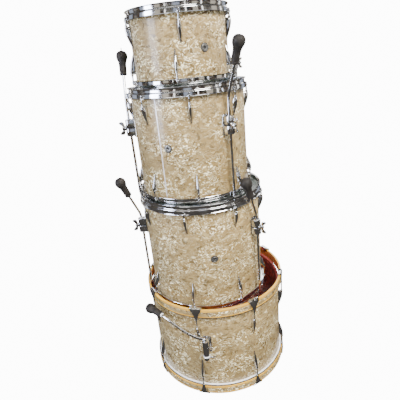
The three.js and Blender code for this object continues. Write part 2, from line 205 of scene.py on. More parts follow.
def warped(n, scale, amount):
    """Coordinates pushed about by a slow noise, so that shapes drawn on them swirl."""
    flat = n.coordinates((1, 1, 1.5))
    push = n.new("TexNoise", Scale=scale, Detail=2.0)
    n.link(flat, push.inputs["Vector"])
    add = n.new("VectorMath", operation="MULTIPLY_ADD")
    add.inputs[1].default_value = (amount, amount, amount)
    n.link(push.outputs["Color"], add.inputs[0])
    n.link(flat, add.inputs[2])
    return add.outputs[0]


def pearl_look():
    """Cream pearl wrap: swirled flakes with white flecks in drifts, under gloss; the flecks glow a little
    as a painted glint.
    """
    n = Nodes("cream_pearl_wrap")
    swirl = warped(n, 14, 0.06)
    cells = n.new("TexVoronoi", Scale=75.0, Randomness=1.0)
    n.link(swirl, cells.inputs["Vector"])
    flake = cells.outputs["Color"]
    body = n.ramp(
        flake,
        [
            (0.0, (0.120, 0.088, 0.044)),
            (0.35, (0.236, 0.160, 0.060)),
            (0.8, (0.322, 0.230, 0.094)),
            (1.0, (0.540, 0.425, 0.205)),
        ],
    )
    tone = n.ramp(n.noise(swirl, 5, 3), [(0.3, (0.88, 0.88, 0.90)), (0.7, (1.06, 1.04, 1.0))])
    toned = n.mix(1.0, body, tone, "MULTIPLY")
    drifts = n.ramp(n.noise(swirl, 10, 2), [(0.40, grey(0.15)), (0.60, grey(1.0))])
    contour = n.math("ABSOLUTE", n.math("SUBTRACT", n.noise(swirl, 30, 1.5, 0.8), 0.5), 0.0)
    ridge = n.ramp(contour, [(0.009, grey(1)), (0.019, grey(0))])
    breaks = n.ramp(n.noise(swirl, 50, 2), [(0.50, grey(0)), (0.54, grey(1))])
    spots = n.ramp(n.noise(swirl, 120, 2, 1.0), [(0.59, grey(0)), (0.61, grey(1))])
    strokes = n.math("MAXIMUM", n.math("MULTIPLY", ridge, breaks), spots)
    fleck = n.math("MULTIPLY", strokes, drifts)
    edge = n.ramp(contour, [(0.022, grey(0)), (0.032, grey(0.9)), (0.050, grey(0))])
    shaded = n.mix(n.math("MULTIPLY", edge, breaks), toned, (0.085, 0.058, 0.026, 1))
    coloured = n.mix(fleck, shaded, (1.0, 0.915, 0.60, 1))
    n.drive(coloured, "Base Color")
    # the flecks glow a little: a painted glint on the pearl
    n.drive(n.math("MULTIPLY", fleck, 0.22), "Emission Strength")
    n.drive(coloured, "Emission Color")
    rough = n.ramp(flake, [(0, grey(0.24)), (1, grey(0.4))])
    n.drive(rough, "Roughness")
    n.set(Coat_Weight=0.25, Coat_Roughness=0.06, Specular_IOR_Level=0.3)
    n.bump(n.noise(swirl, 140, 2), 0.05, 0.0004)
    return n.material


def seam_painted_highlight_look():
    """The wrap's overlap, paler and cooler than the wrap: a painted reflection streak."""
    n = Nodes("wrap_seam")
    speck = n.noise(n.coordinates((1, 1, 0.3)), 120, 2)
    # pale, cool colour: a painted reflection streak along the overlap
    colour = n.ramp(speck, [(0.3, (0.60, 0.58, 0.62)), (0.7, (0.80, 0.79, 0.82))])
    n.drive(colour, "Base Color")
    n.set(Roughness=0.2, Coat_Weight=0.5, Coat_Roughness=0.05)
    return n.material


def chrome_look():
    """Polished chrome with faint haze and rubbed patches."""
    n = Nodes("polished_chrome")
    haze = n.noise(n.coordinates(), 30, 4)
    rough = n.ramp(haze, [(0.35, grey(0.05)), (0.7, grey(0.16))])
    n.drive(rough, "Roughness")
    tint = n.ramp(haze, [(0.3, (0.70, 0.71, 0.73)), (0.7, (0.80, 0.81, 0.82))])
    n.drive(tint, "Base Color")
    n.set(Metallic=1.0)
    n.bump(n.noise(n.coordinates(), 900, 1), 0.03, 0.0001)
    return n.material


def nickel_look():
    """Dull grey metal of the vent grommets."""
    n = Nodes("dull_nickel")
    haze = n.noise(n.coordinates(), 260, 3)
    n.drive(n.ramp(haze, [(0.3, (0.20, 0.20, 0.19)), (0.7, (0.34, 0.34, 0.32))]), "Base Color")
    n.drive(n.ramp(haze, [(0.3, grey(0.25)), (0.7, grey(0.4))]), "Roughness")
    n.set(Metallic=1.0)
    return n.material


def wood_look(name, dark, light, rough, coat):
    """Lacquered wood whose grain runs round the hoop in thin level lines."""
    n = Nodes(name)
    grain = n.noise(n.coordinates((6, 6, 210)), 1.0, 5, 0.6)
    cloud = n.noise(n.coordinates(), 14, 2)
    lines = n.ramp(grain, [(0.3, dark), (0.7, light)])
    shade = n.ramp(cloud, [(0.3, grey(0.86)), (0.7, grey(1.05))])
    n.drive(n.mix(1.0, lines, shade, "MULTIPLY"), "Base Color")
    n.set(Roughness=rough, Coat_Weight=coat, Coat_Roughness=0.08)
    n.bump(grain, 0.12, 0.0003)
    return n.material


def stain_look():
    """Red-stained plywood inside the bass drum, blotched, with small bright specks."""
    n = Nodes("red_stained_interior")
    where = n.coordinates((1, 1, 1.4))
    blotch = n.ramp(
        n.noise(where, 34, 5, 1.2),
        [(0.25, (0.08, 0.010, 0.010)), (0.5, (0.28, 0.035, 0.028)), (0.75, (0.52, 0.12, 0.085))],
    )
    bright_specks = n.ramp(n.noise(where, 120, 3, 2), [(0.66, grey(0)), (0.74, grey(0.55))])
    n.drive(n.mix(bright_specks, blotch, (0.5, 0.2, 0.15, 1)), "Base Color")
    n.set(Roughness=0.35, Coat_Weight=0.3, Coat_Roughness=0.15)
    return n.material


def film_look():
    """Coated drumhead film with a sprayed, slightly scuffed surface."""
    n = Nodes("coated_film")
    where = n.coordinates()
    scuff = n.ramp(n.noise(where, 9, 5), [(0.35, (0.70, 0.69, 0.65)), (0.7, (0.84, 0.83, 0.80))])
    n.drive(scuff, "Base Color")
    n.set(Roughness=0.55)
    n.bump(n.noise(where, 1600, 2), 0.25, 0.0002)
    return n.material


def dark_film_look():
    """A glossy drumhead of a very dark green."""
    n = Nodes("dark_green_film")
    cloud = n.noise(n.coordinates(), 12, 3)
    n.drive(n.ramp(cloud, [(0.3, (0.006, 0.010, 0.007)), (0.7, (0.014, 0.026, 0.017))]), "Base Color")
    n.drive(n.ramp(cloud, [(0.3, grey(0.16)), (0.7, grey(0.28))]), "Roughness")
    return n.material


def rubber_look():
    """Moulded dark rubber, a little brown and dusty."""
    n = Nodes("moulded_rubber")
    where = n.coordinates()
    dust = n.ramp(n.noise(where, 45, 4), [(0.35, (0.006, 0.005, 0.004)), (0.75, (0.026, 0.021, 0.017))])
    n.drive(dust, "Base Color")
    rough = n.ramp(n.noise(where, 60, 2), [(0.3, grey(0.45)), (0.7, grey(0.7))])
    n.drive(rough, "Roughness")
    n.set(Specular_IOR_Level=0.25)
    n.bump(n.noise(where, 700, 3), 0.35, 0.0004)
    return n.material


def speckled_look(name, dark, light, speck, rough):
    """A plain grey surface with a faint speckle of a given noise scale and detail."""
    n = Nodes(name)
    noise = n.noise(n.coordinates(), *speck)
    n.drive(n.ramp(noise, [(0.3, grey(dark)), (0.7, grey(light))]), "Base Color")
    n.set(Roughness=rough)
    return n.material


PEARL = pearl_look()
SEAM_PAINTED_HIGHLIGHT = seam_painted_highlight_look()
CHROME = chrome_look()
NICKEL = nickel_look()
MAPLE = wood_look("lacquered_maple", (0.42, 0.20, 0.010), (0.80, 0.46, 0.035), 0.4, 0.10)
# the bass hoops' inner face: maple darker and redder, partly painted shade, partly red stain from the
# interior
HOOP_INSIDE_SHADE_AND_STAIN = wood_look("hoop_inside_painted_shade_and_stain", (0.30, 0.055, 0.006), (0.65, 0.19, 0.015), 0.4, 0.15)
PLY = wood_look("maple_ply", (0.45, 0.28, 0.12), (0.62, 0.44, 0.22), 0.5, 0.1)
STAIN = stain_look()
FILM = film_look()
DARK_FILM = dark_film_look()
RUBBER = rubber_look()
NYLON = speckled_look("white_nylon", 0.72, 0.85, (90, 3), 0.4)
# painted shade for holes, gaps between parts and the shadow lines at the bass hoops' feet
PAINTED_SHADE = speckled_look("hole_shadow", 0.006, 0.014, (200, 2), 0.8)


# ---------------------------------------------------------------- shape helpers
class Shape:
    """Points, faces and the material number of each face."""

    def __init__(self, points=(), faces=(), looks=0):
        self.points = np.array(points, float).reshape(-1, 3)
        self.faces = [list(f) for f in faces]
        self.looks = [looks] * len(self.faces) if isinstance(looks, int) else list(looks)

    def add(self, other, matrix=None, look=None):
        points = other.points
        if matrix is not None:
            m = np.array(matrix, float)
            points = points @ m[:3, :3].T + m[:3, 3]
        start = len(self.points)
        self.points = np.vstack([self.points, points])
        self.faces += [[start + i for i in face] for face in other.faces]
        self.looks += other.looks if look is None else [look] * len(other.faces)
        return self

    def moved(self, matrix):
        return Shape().add(self, matrix)


def piece(name, shape, looks, body, nodes, crease=32):
    """A finished Blender piece that rides on a body and stands for CAD nodes."""
    mesh = bpy.data.meshes.new(name)
    mesh.from_pydata((shape.points * MM).tolist(), [], shape.faces)
    for look in looks:
        mesh.materials.append(look)
    mesh.polygons.foreach_set("material_index", shape.looks)
    bm = bmesh.new()
    bm.from_mesh(mesh)
    bmesh.ops.remove_doubles(bm, verts=bm.verts, dist=1e-7)
    bmesh.ops.recalc_face_normals(bm, faces=bm.faces)
    bm.to_mesh(mesh)
    bm.free()
    mesh.shade_smooth()
    mesh.set_sharp_from_angle(angle=math.radians(crease))
    made = bpy.data.objects.new(name, mesh)
    bpy.context.scene.collection.objects.link(made)
    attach(made, body)
    if nodes:
        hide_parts(*nodes)


def rounded(corners, radius, steps=3):
    """A closed outline with every corner turned into a small arc."""
    corners = [np.array(c, float) for c in corners]
    out = []
    for i, corner in enumerate(corners):
        before = corners[i - 1] - corner
        after = corners[(i + 1) % len(corners)] - corner
        long_before, long_after = np.linalg.norm(before), np.linalg.norm(after)
        reach = min(radius, 0.45 * long_before, 0.45 * long_after)
        start = corner + before / long_before * reach
        end = corner + after / long_after * reach
        for k in range(steps + 1):
            t = k / steps
            out.append((1 - t) ** 2 * start + 2 * t * (1 - t) * corner + t * t * end)
    return out


def even_angles(count=ROUND):
    return [i * 360 / count for i in range(count)]


def lathe(profile, angles=None, look_of=None, grow=None, open_ends=False):
    """A closed profile of (radius, height) turned about +Z."""
    angles = angles or even_angles()
    profile = [tuple(p) for p in profile]
    count = len(profile)
    points, faces, looks = [], [], []
    for angle in angles:
        a = math.radians(angle)
        for r, z in profile:
            wide = r + (grow(angle, r, z) if grow else 0)
            points.append((wide * math.sin(a), -wide * math.cos(a), z))
    spans = len(angles) - 1 if open_ends else len(angles)
    for i in range(spans):
        here, there = i * count, ((i + 1) % len(angles)) * count
        for k in range(count):
            after = (k + 1) % count
            if profile[k][0] < 1e-6 and profile[after][0] < 1e-6:
                continue
            if profile[k][0] < 1e-6:
                faces.append([here + k, there + after, here + after])
            elif profile[after][0] < 1e-6:
                faces.append([here + k, there + k, here + after])
            else:
                faces.append([here + k, there + k, there + after, here + after])
            middle = [(profile[k][j] + profile[after][j]) / 2 for j in (0, 1)]
            looks.append(look_of(*middle) if look_of else 0)
    if open_ends:
        faces.append(list(range(count)))
        faces.append(list(range(spans * count, spans * count + count)))
        looks += [0, 0]
    return Shape(points, faces, looks)


def loft(rings):
    """A closed skin over rings that have the same number of points."""
    count = len(rings[0])
    points = [p for ring in rings for p in ring]
    faces = []
    for i in range(len(rings) - 1):
        low, high = i * count, (i + 1) * count
        for k in range(count):
            after = (k + 1) % count
            faces.append([low + k, low + after, high + after, high + k])
    last = (len(rings) - 1) * count
    faces.append(list(range(count)))
    faces.append(list(range(last, last + count)))
    return Shape(points, faces)


def spun(profile, sides=32):
    """A small turned part: a profile of (radius, height) from its foot to its top."""
    closed = [(0, profile[0][1]), *profile, (0, profile[-1][1])]
    return lathe(closed, even_angles(sides))


def tube(path, radius, sides=20):
    """A round rod along a path, with rounded ends."""
    path = [Vector(p) for p in path]
    first = (path[1] - path[0]).normalized()
    last = (path[-1] - path[-2]).normalized()
    soft = radius * 0.3
    path = [path[0], path[0] + first * soft, *path[1:-1], path[-1] - last * soft, path[-1]]
    sizes = [radius * 0.7] + [radius] * (len(path) - 2) + [radius * 0.7]
    side = first.orthogonal().normalized()
    rings = []
    for i, point in enumerate(path):
        ahead = path[min(i + 1, len(path) - 1)] - path[max(i - 1, 0)]
        ahead.normalize()
        side = (side - ahead * side.dot(ahead)).normalized()
        other = ahead.cross(side)
        ring = []
        for k in range(sides):
            a = 2 * math.pi * k / sides
            ring.append(point + (side * math.cos(a) + other * math.sin(a)) * sizes[i])
        rings.append(ring)
    return loft(rings)


def bent(start, corner, end, radius):
    """A path from start to end that rounds its one corner."""
    steps = 8
    start, corner, end = Vector(start), Vector(corner), Vector(end)
    first, second = (start - corner).normalized(), (end - corner).normalized()
    into, out = corner + first * radius, corner + second * radius
    path = [start]
    for k in range(steps + 1):
        t = k / steps
        path.append(into * (1 - t) ** 2 + corner * 2 * t * (1 - t) + out * t * t)
    return [*path, end]


def slab(outline, low, high, bevel=1.0, steps=3):
    """A flat outline given thickness along +Z, with rounded edges."""
    outline = np.array(outline, float)
    middle = outline.mean(0)
    span = np.abs(outline - middle).max()
    rings = []
    for end, sign in ((low, 1), (high, -1)):
        order = range(steps + 1) if sign > 0 else range(steps, -1, -1)
        for k in order:
            a = math.pi / 2 * k / steps
            shrink = 1 - bevel * (1 - math.sin(a)) / span
            z = end + sign * bevel * (1 - math.cos(a))
            ring = middle + (outline - middle) * shrink
            rings.append([(x, y, z) for x, y in ring])
    return loft(rings)


def rectangle(half_x, half_y, corner, steps=4):
    corners = [(-half_x, -half_y), (half_x, -half_y), (half_x, half_y), (-half_x, half_y)]
    return rounded(corners, corner, steps)


def shift(y, z=0.0, x=0.0):
    return Matrix.Translation((x, y, z))


def on_axis(part, height=0.0):
    return Matrix.Translation((*part["centre"], height))


def facing(part, angle, height=0.0):
    """Frame at a place on a drum: local +Y points out from the axis, +Z up."""
    return on_axis(part, height) @ Matrix.Rotation(math.pi + math.radians(angle), 4, "Z")


def around(part, radius, angle, height):
    a = math.radians(angle)
    x, y = part["centre"]
    return Vector((x + radius * math.sin(a), y - radius * math.cos(a), height))


def along(point, direction):
    """Stands a +Z shape on a point and points it along a direction."""
    turn = Vector((0, 0, 1)).rotation_difference(Vector(direction)).to_matrix().to_4x4()
    return Matrix.Translation(point) @ turn


def outward_at(distance, height=0.0):
    """Stands a +Z shape out along a facing frame's +Y, at a distance from the axis."""
    return shift(distance, height) @ Matrix.Rotation(-math.pi / 2, 4, "X")


FLIP = Matrix.Diagonal((1, 1, -1, 1))


def edge_frames(part, edge, hoop_edge=0.0):
    """The height of a drum's edge and the matrix that turns an upper edge into it."""
    if edge in ("top", "front"):
        return part["top"] + hoop_edge, Matrix.Identity(4)
    return part["base"] - hoop_edge, FLIP


# ------------------------------------------------------------------------ shells
def shell_shape(part):
    """A shell with cut bearing edges: wrapped outside (look 0), bare inside (look 1)."""
    radius, inner = part["radius"], part["radius"] - part["wall"]
    low, high = part["base"], part["top"]
    half = [(inner, 6), (radius - 3.6, 0.15), (radius - 2.4, 0), (radius - 0.8, 1.2), (radius, 3.6)]
    profile = [(r, low + z) for r, z in half] + [(r, high - z) for r, z in reversed(half)]

    def look_of(r, z):
        return 0 if r > radius - 0.2 else 1

    return lathe(profile, look_of=look_of).moved(on_axis(part))


def seam_shape(part, angle):
    """The thin overlap where the wrap's two ends meet."""
    under, over = part["radius"] - 0.2, part["radius"] + 0.45
    low, high = part["base"] + SEAM_MARGIN, part["top"] - SEAM_MARGIN
    profile = rounded([(under, low), (over, low), (over, high), (under, high)], 0.2, 2)
    return lathe(profile, [angle - 0.5, angle, angle + 0.5], open_ends=True).moved(on_axis(part))


def make_shell(part, inside, seam_angle):
    name, body = part["name"], part["body"]
    piece(name + "_shell_wrapped", shell_shape(part), [PEARL, inside], body, [name + "_shell"])
    piece(name + "_wrap_seam", seam_shape(part, seam_angle), [SEAM_PAINTED_HIGHLIGHT], body, ())


def teardrop(radius, spec, widen=0.0, flat=None):
    """Half a teardrop standing on a shell, fat near the rim and fine at its tip.

    A flat one has one height all along; the others rise with the stations.
    """
    stations = [
        (0.0, 3.2, 13.0), (0.015, 4.6, 16.0), (0.05, 5.9, 18.2), (0.11, 6.8, 19.0), (0.2, 7.4, 18.9),
        (0.32, 7.5, 17.6), (0.45, 7.0, 15.2), (0.6, 5.8, 11.8), (0.75, 4.2, 7.9), (0.88, 2.5, 4.2),
        (0.96, 1.3, 2.0), (1.0, 0.5, 0.9),
    ]
    tall = spec["reach"] / 19.0  # the stations stand for a reach of 19
    steps = 18
    rings = []
    for t, width, height in stations:
        z = -spec["start"] - t * spec["length"]
        ring = []
        for k in range(steps + 1):
            a = math.pi * k / steps
            rise = (flat if flat else height * tall + 1) * math.sin(a) ** 0.8
            ring.append(((width + widen) * math.cos(a), radius - 1 + rise, z))
        rings.append(ring)
    return loft(rings)


def lug_shape(radius, spec, rod_offset):
    """One lug for an upper edge at height 0: body, gasket and rod receiver."""
    lug = teardrop(radius, spec)
    lug.add(teardrop(radius, spec, 1.4, 1.9), look=1)
    receiver = spun(
        [(3.6, -12), (4.5, -11.4), (4.5, -1.2), (4.9, -0.6), (4.9, 3.4), (4.2, 4.4), (3.1, 4.6)], 24
    )
    lug.add(receiver, shift(radius + rod_offset, -spec["start"]))
    return lug


def lug_set(part, edge, spec, rod_offset, name):
    height, turn = edge_frames(part, edge)
    one = lug_shape(part["radius"], spec, rod_offset)
    whole = Shape()
    for angle in spec["angles"]:
        whole.add(one, facing(part, angle, height) @ turn)
    piece(name, whole, [CHROME, RUBBER], part["body"], ())


def make_vent(part):
    """A domed grommet with a dark edge and a dark hole, both painted shade."""
    angle, height = part["vent"]
    profile = [
        (0, 0.9), (4.4, 0.9), (4.4, 1.4), (4.9, 2.1), (5.8, 2.3), (8.6, 2.2), (9.2, 1.7), (9.8, 2.1),
        (11.2, 1.9), (13.4, 1.3), (14, 0.5), (14, -0.2), (6, -0.6), (6, -7), (0, -7),
    ]

    def look_of(r, z):
        # painted shade fills the shallow hole and darkens the dome's outer edge
        return 1 if z > -0.3 and (r < 4.5 or r > 11.8) else 0

    ring = lathe(profile, even_angles(40), look_of)
    place = facing(part, angle, part["base"] + height) @ outward_at(part["radius"])
    name = part["name"] + "_vent"
    piece(name + "_grommet", ring.moved(place), [NICKEL, PAINTED_SHADE], part["body"], [name])


# -------------------------------------------------------------------------- rims
def rim_angles(angles, radius):
    """Even steps round a rim, with closer ones beside each ear."""
    found = set(even_angles(120))
    for angle in angles:
        for along_rim in range(0, 29, 4):
            turn = math.degrees(along_rim / radius)
            found |= {(angle + turn) % 360, (angle - turn) % 360}
    ordered = sorted(found)
    return [a for a, before in zip(ordered, [-9] + ordered) if a - before > 0.02]


def rim_shape(radius, angles):
    """A triple-flanged steel rim for an upper edge at height 0."""
    profile = [
        (6.9, -20), (9.6, -20.1), (11.6, -20), (12, -19.3), (11.6, -18.6), (10, -18.2), (9.3, -17.2),
        (9.2, -6.2), (8.9, -4.6), (8.1, -3.4), (6.0, -2.4), (5.0, -1.4), (4.6, 0.2), (4.6, 7.6),
        (5.0, 9.2), (6.2, 10.0), (8.6, 10.2), (9.4, 10.6), (9.5, 11.4), (8.9, 12), (5.2, 12),
        (3.6, 11.4), (2.6, 10.2), (2.3, 8.6), (2.3, -0.4), (2.5, -2.4), (3.4, -3.5), (5.4, -4.2),
        (6.6, -5.4), (6.9, -7),
    ]
    profile = [(radius + r, z) for r, z in profile]
    reach, half = 4.4, 24.0  # how far an ear stands out, and half its length
    lip_top, lip_start = -17.5, radius + 9.5

    def grow(angle, r, z):
        """Draws the foot's lip out into an ear near each tension rod."""
        if z > lip_top or r < lip_start:
            return 0
        nearest = min(abs((angle - a + 180) % 360 - 180) for a in angles)
        away = math.radians(nearest) * radius / half
        if away >= 1:
            return 0
        share = (r - lip_start) / 2.5
        return reach * min(share, 1) * (1 - away) ** 1.2

    return lathe(profile, rim_angles(angles, radius), grow=grow)


def rod_shape(radius, spec):
    """A tension rod with its washer and square key head, under an ear at -20."""
    bottom = -spec["start"] - 2
    rod = spun([(2.6, bottom), (2.9, bottom + 1), (2.9, -16)], 16)
    washer = spun([(4.6, -18), (5.3, -17.6), (5.3, -16.9), (4.6, -16.5)], 24)
    collar = spun([(4.4, -16.5), (4.6, -16), (4.6, -14), (3.8, -13.2)], 24)
    key = slab(rectangle(2.9, 2.9, 0.6, 2), -13.4, -6.4, 0.5, 2)
    ear = rounded([(-9, -6.5), (9, -6.5), (6.5, 3.2), (-6.5, 3.2)], 3.2, 3)
    ear = slab(ear, -20.6, -17.6, 0.7, 2)
    whole = Shape()
    for part in (rod, washer, collar, key, ear):
        whole.add(part, shift(radius + ROD_OFFSET))
    return whole


def make_rim(part, edge, spec):
    height, turn = edge_frames(part, edge)
    name = f"{part['name']}_{edge}_rim"
    # the turn mirrors only heights, so the ears keep their angles
    band = rim_shape(part["radius"], spec["angles"]).moved(on_axis(part, height) @ turn)
    piece(name + "_hoop", band, [CHROME], part["body"], [name])
    rods = Shape()
    one = rod_shape(part["radius"], spec)
    for angle in spec["angles"]:
        rods.add(one, facing(part, angle, height) @ turn)
    piece(name + "_tension_rods", rods, [CHROME], part["body"], ())


def make_head(part, edge, ring, film, metal):
    """A drumhead: film, rounded collar and flesh hoop."""
    radius = part["radius"]
    outer, top, foot, collar = ring
    profile = [
        (0, 0.3), (radius * 0.5, 0.3), (radius - 3, 0.3), (radius - 0.4, -0.2), (radius + 0.5, -2.4),
        (radius + 0.5, foot), (radius + outer - 2.2, foot), (radius + outer - 0.7, foot + 0.8),
        (radius + outer, foot + 2.4), (radius + outer, top - 2.8), (radius + outer - 0.8, top - 0.9),
        (radius + outer - 2.4, top), (radius + collar, top),
        (radius + collar - 0.3, -1.8), (radius + 0.2, 0.8), (radius - 2.6, 1.3), (radius * 0.5, 1.3),
        (0, 1.3),
    ]

    def look_of(r, z):
        return 1 if r > radius + collar - 0.1 or z < foot + 0.2 else 0

    height, turn = edge_frames(part, edge)
    name = f"{part['name']}_{edge}_head"
    shape = lathe(profile, look_of=look_of).moved(on_axis(part, height) @ turn)
    piece(name + "_film", shape, [film, metal], part["body"], [name])


# a head's flesh hoop: how far out, its top and foot, and where its collar begins
TOM_RING = (6, -4.2, -11, 1.8)
BASS_RING = (7, -9.2, -13.2, 2.6)


# --------------------------------------------------------------------- bass drum
def hoop_shape(radius, painted_shadow_inside):
    """A wooden hoop with an inlaid band, for an upper edge of the hoop at 0.

    A dark line of painted shadow edges its foot: under the hoop's outer face, or inside, by the head's
    ring.
    """
    inner, outer = radius + HOOP["inner"], radius + HOOP["outer"]
    tall, edge = HOOP["height"], HOOP["edge"]
    corners = rounded([(inner, -tall), (outer, -tall), (outer, 0), (inner, 0)], 1.8, 4)
    groove = [
        (outer, -tall + edge), (outer - 0.35, -tall + edge + 0.2), (outer - 0.05, -tall + edge + 0.6),
        (outer - 0.05, -edge - 0.6), (outer - 0.35, -edge - 0.2), (outer, -edge),
    ]
    shadow_inner_edge, shadow_top = inner + HOOP["painted_shadow_inside"], -tall + HOOP["line"]
    foot = corners[:5] + [(shadow_inner_edge, -tall)] + corners[5:10] + [(outer, shadow_top)]
    profile = foot + groove + corners[10:]

    def on_painted_shadow(r, z):
        if painted_shadow_inside:
            return z < -tall + 0.2 and r < shadow_inner_edge
        return z < shadow_top and r > outer - 1.5

    def look_of(r, z):
        if on_painted_shadow(r, z):
            # painted shadow where the hoop's foot meets the shell or the head's ring
            return 3
        if r > outer - 0.2 and -tall + edge + 0.3 < z < -edge - 0.3:
            return 1
        # the inner face: darker, redder maple, partly painted shade and partly red stain
        return 2 if r < inner + 0.5 else 0

    return lathe(profile, look_of=look_of)


CLAW_PATH = [  # offset from the shell, height, half width
    (2.0, -9, 14), (1.9, -5, 18), (1.9, 0, 21), (2.3, 3.6, 22.4), (3.6, 5.9, 23), (6, 6.8, 23),
    (10.5, 6.8, 23), (13.3, 5.8, 23), (15.0, 3.2, 22.6), (15.7, -1, 21.2), (15.8, -7, 18),
    (15.8, -14, 13.6), (15.7, -21, 10.2), (15.3, -29, 7.8), (14.8, -38, 6.4), (14.2, -47, 5.6),
]
CLAW_THICK = 2.3
CLAW_TOP = 7.95
CLAW_ROOT = 9  # below this depth a claw isn't squeezed


def strip(path, thick, shrink=0.0, offset=0.0):
    """A bent metal strip that follows a path of (y, z, half width)."""
    rings = []
    for i, (y, z, half) in enumerate(path):
        before, after = path[max(i - 1, 0)], path[min(i + 1, len(path) - 1)]
        dy, dz = after[0] - before[0], after[1] - before[1]
        size = math.hypot(dy, dz)
        ny, nz = -dz / size, dy / size
        outline = rectangle(half - shrink, thick / 2, thick * 0.45, 2)
        rings.append([(x, y + ny * (d + offset), z + nz * (d + offset)) for x, d in outline])
    return loft(rings)


def claw_shape(radius, rod_end, top):
    """A claw hook with its lining, funnel and rod; its hook rises to a given height."""
    hook, full = (t - CLAW_THICK / 2 + CLAW_ROOT for t in (top, CLAW_TOP))
    squeeze = hook / full
    path = [
        (y, (z + CLAW_ROOT) * squeeze - CLAW_ROOT if z > -CLAW_ROOT else z, w) for y, z, w in CLAW_PATH
    ]
    claw = strip(path, CLAW_THICK)
    claw.add(strip(path[3:13], 1.3, 1.0, -1.8), look=1)
    funnel = [
        (-7, 9, 1.8), (-12, 8.4, 2.6), (-20, 7.2, 3.1), (-30, 6.0, 3.4), (-40, 5.2, 3.6),
        (-47, 4.8, 3.7), (-49, 4.0, 3.2),
    ]
    rings = []
    for z, wide, deep in funnel:
        turns = [math.radians(a) for a in even_angles(24)]
        rings.append([(wide * math.cos(a), 13.9 + deep * math.sin(a), z) for a in turns])
    claw.add(loft(rings))
    rod = spun([(2.6, rod_end), (3.0, rod_end + 1), (3.0, -46)], 16)
    claw.add(rod, shift(CLAW_ROD))
    return claw.moved(shift(radius))


def make_bass_hoop(edge):
    reveal = BASS["base"]
    height, turn = edge_frames(BASS, edge, reveal)
    name = f"bass_{edge}_hoop"
    band = hoop_shape(BASS["radius"], edge == "batter").moved(on_axis(BASS, height) @ turn)
    looks = [MAPLE, PEARL, HOOP_INSIDE_SHADE_AND_STAIN, PAINTED_SHADE]
    piece(name + "_wood", band, looks, BASS["body"], [name])
    top = CLAW_TOP if edge == "front" else 0
    one = claw_shape(BASS["radius"], -reveal - BASS_LUGS["start"] - 2, top)
    claws = Shape()
    for angle in BASS_LUGS["angles"]:
        claws.add(one, facing(BASS, angle, height) @ turn)
    piece(name + "_claws", claws, [CHROME, RUBBER], BASS["body"], ())


def make_bass():
    make_shell(BASS, STAIN, 152)
    lug_set(BASS, "front", BASS_LUGS, CLAW_ROD, "bass_front_lugs")
    lug_set(BASS, "batter", BASS_LUGS, CLAW_ROD, "bass_batter_lugs")
    make_vent(BASS)
    make_bass_hoop("front")
    make_bass_hoop("batter")
    make_head(BASS, "batter", BASS_RING, FILM, NYLON)


# ------------------------------------------------------------------ small fittings
def wing_shape(shaft, scale=1.0):
    """A wing screw that starts at height 0 and points along +Z; its wings lie along Y."""
    hub = 10
    screw = spun([(2.6, 0), (3.3, 0.8), (3.3, shaft + 1)], 16)
    turned = [(7.2, 0), (8, 1), (7.6, 5), (6.4, hub), (5.2, hub + 2.2), (2.6, hub + 3)]
    screw.add(spun([(r * scale, shaft + z) for r, z in turned], 28))
    outline = rounded(
        [
            (3, 1.5), (14, 3.2), (22, 5.5), (24, 12), (22.6, 20.5), (18, 22.6), (13.5, 18), (9, 12.5),
            (3, 10),
        ],
        3.0, 3,
    )
    ear = slab([(s * scale, t * scale) for s, t in outline], -1.9, 1.9, 1.1, 2)
    for side in (1, -1):
        # local axes: outline x runs along +-Y, outline y along +Z, thickness along X
        turn = Matrix(((0, 0, 1, 0), (side, 0, 0, 0), (0, 1, 0, shaft), (0, 0, 0, 1)))
        screw.add(ear, turn)
    return screw


FOOT_PROFILE = [
    (7.2, 0), (11.2, 0), (12.4, 0.8), (12.7, 3), (12.7, 7), (11.9, 8), (11.9, 9.4), (12.8, 10.4),
    (13.0, 24), (13.2, 36), (13.9, 43), (15.6, 49), (18.0, 54.5), (19.6, 60), (20.1, 66), (19.5, 71.5),
    (17.7, 76.4), (14.3, 80.4), (9.8, 83.1), (5, 84.2), (0, 84.4),
]


def foot_shape(bore=5.3):
    """A moulded rubber foot with a ball end, for a rod that enters at height 0."""
    profile = [(0, FOOT_DEPTH), (bore, FOOT_DEPTH), (bore, 0.8), *FOOT_PROFILE]
    return lathe(profile, even_angles(40))


def plate_shape(radius, half_x, half_z, corner, screws):
    """A base plate against the shell, with its screws."""
    plate = Shape()
    plate.add(slab(rectangle(half_x, half_z, corner), 0, PLATE, 1.1), outward_at(radius + 0.3))
    for z in screws:
        head = spun([(3.9, 0), (4.1, 0.6), (3.6, 1.6), (2.0, 2.4), (0.6, 2.5)], 20)
        plate.add(head, outward_at(radius + 0.3 + PLATE - 0.2, z))
    return plate


def block_outline(half, back, front):
    """The plan of a cast block: square behind and rounded in front."""
    points = [(-half, back), (half, back)]
    deep = min(front - back - 4, half)
    for k in range(17):
        a = math.pi * k / 16
        points.append((half * math.cos(a), front - deep + deep * math.sin(a) ** 0.9))
    return points


